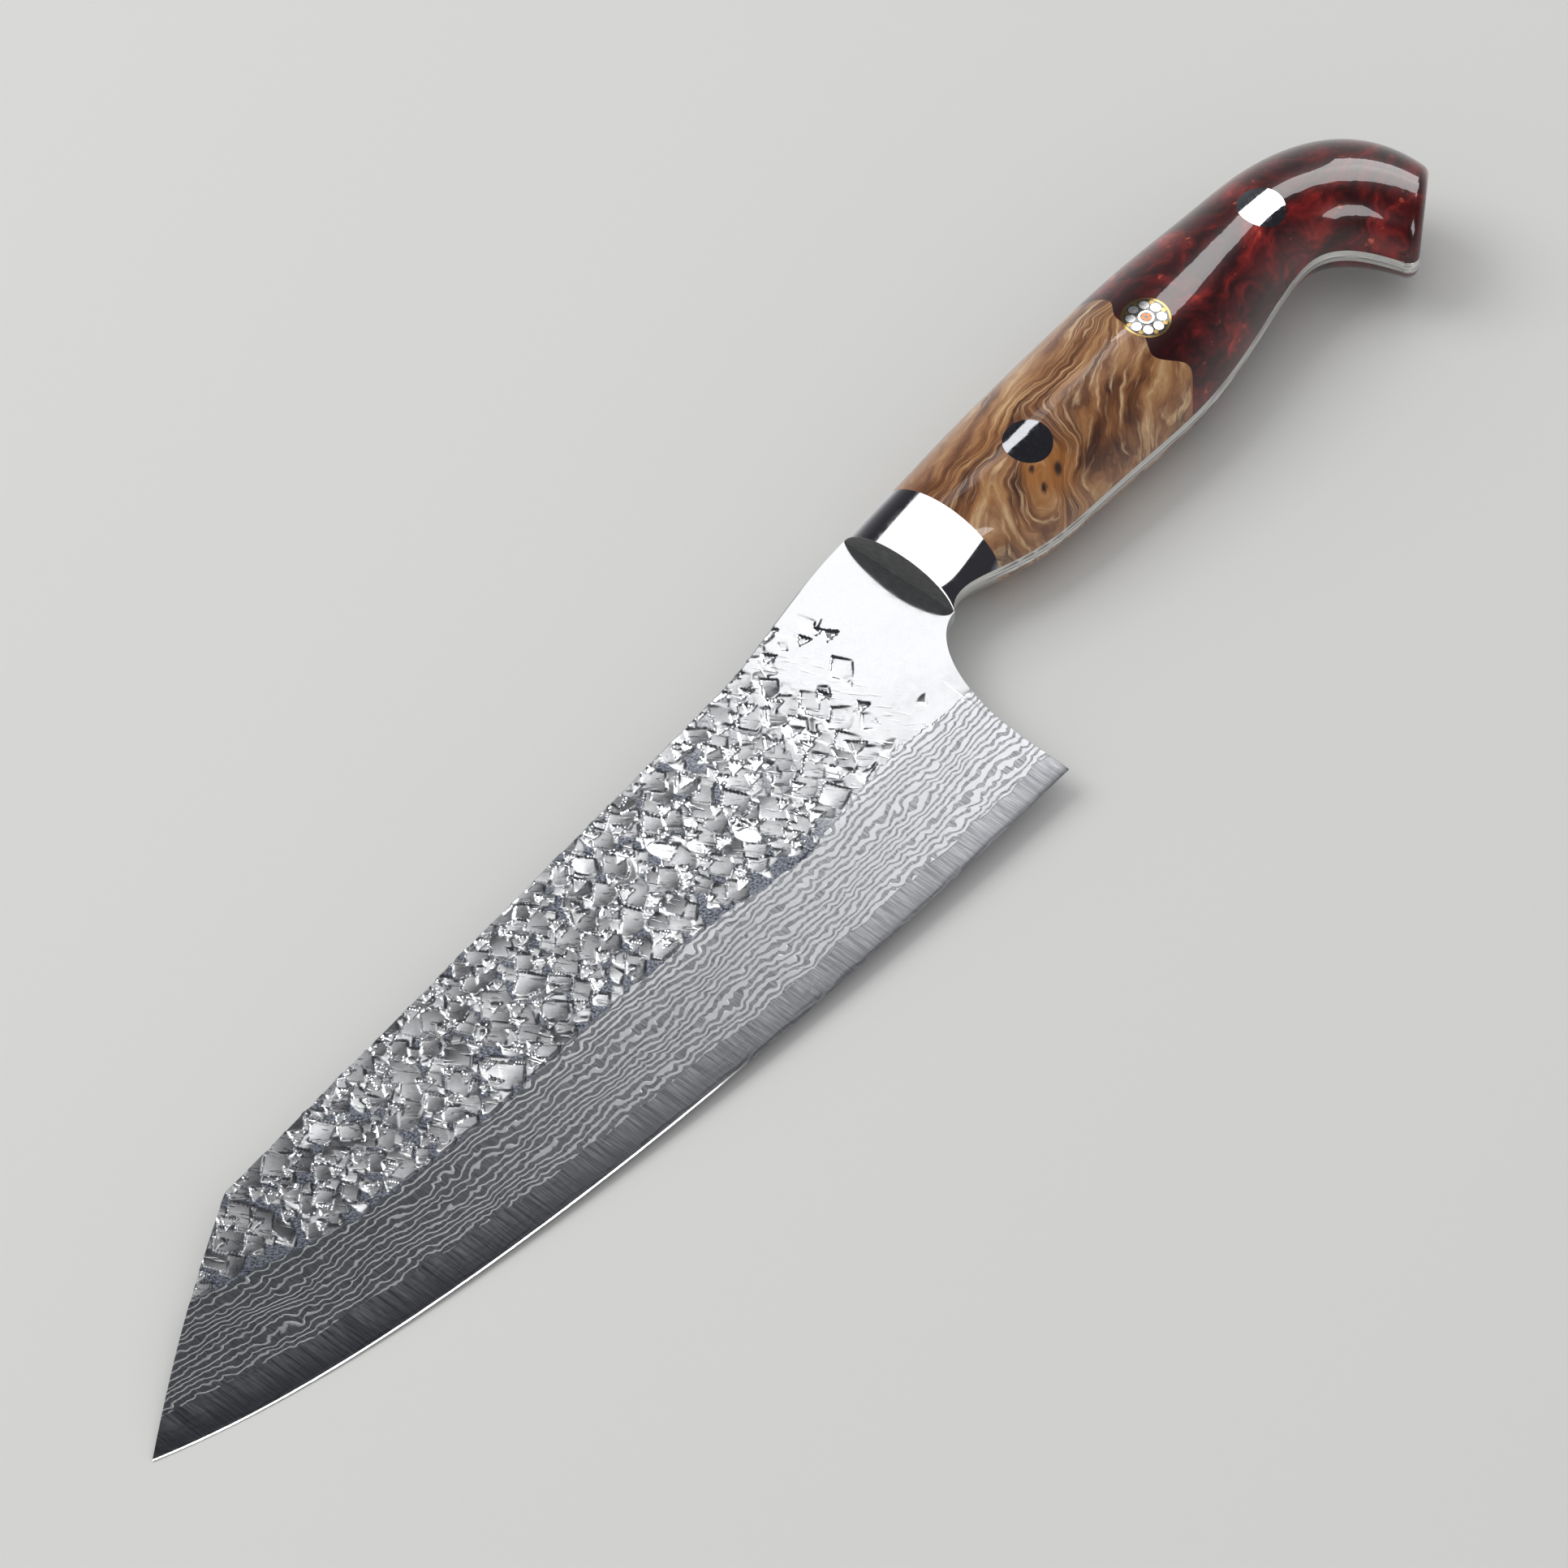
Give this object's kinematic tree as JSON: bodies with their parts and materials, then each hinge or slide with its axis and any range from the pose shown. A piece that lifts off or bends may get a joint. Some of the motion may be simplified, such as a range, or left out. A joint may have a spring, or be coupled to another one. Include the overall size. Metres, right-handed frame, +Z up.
{
  "type": "chef knife",
  "caption": "Kitchen knife with a hammered, layered steel blade, clipped tip, full tang, steel bolster, and a hooked handle of burl wood and red resin with pins.",
  "frame": {"origin": "middle of the bounding box, on the table that the knife lies on", "axes": "+Z up; the knife lies on its right side, tip towards -X, butt towards +X, spine towards +Y, cutting edge towards -Y"},
  "size_m": [0.3068, 0.0532, 0.0218],
  "materials": {
    "core_steel": "brushed",
    "cladding_steel": "etched layers, hammered and polished above the bevel",
    "polished_steel": "mirror polish",
    "burl_wood": "high gloss",
    "red_resin": "high gloss, slightly translucent",
    "dark_epoxy": "polished",
    "brass_tube": "polished"
  },
  "bodies": {
    "root": {"blade_core": "core_steel", "blade_cladding_left": "cladding_steel", "blade_cladding_right": "cladding_steel", "bolster_left": "polished_steel", "bolster_right": "polished_steel", "scale_burl_left": "burl_wood", "scale_burl_right": "burl_wood", "scale_resin_left": "red_resin", "scale_resin_right": "red_resin", "pin_front": "polished_steel", "pin_rear": "polished_steel", "mosaic_tube": "brass_tube", "mosaic_filler": "dark_epoxy", "mosaic_hub_filler": "dark_epoxy", "mosaic_hub": "polished_steel", "mosaic_rim_wires": "brass_tube", "mosaic_hub_wires": "brass_tube", "mosaic_petal_1": "polished_steel", "mosaic_petal_2": "polished_steel", "mosaic_petal_3": "polished_steel", "mosaic_petal_4": "polished_steel", "mosaic_petal_5": "polished_steel", "mosaic_petal_6": "polished_steel", "mosaic_petal_7": "polished_steel", "mosaic_petal_8": "polished_steel"}
  },
  "joints": []
}
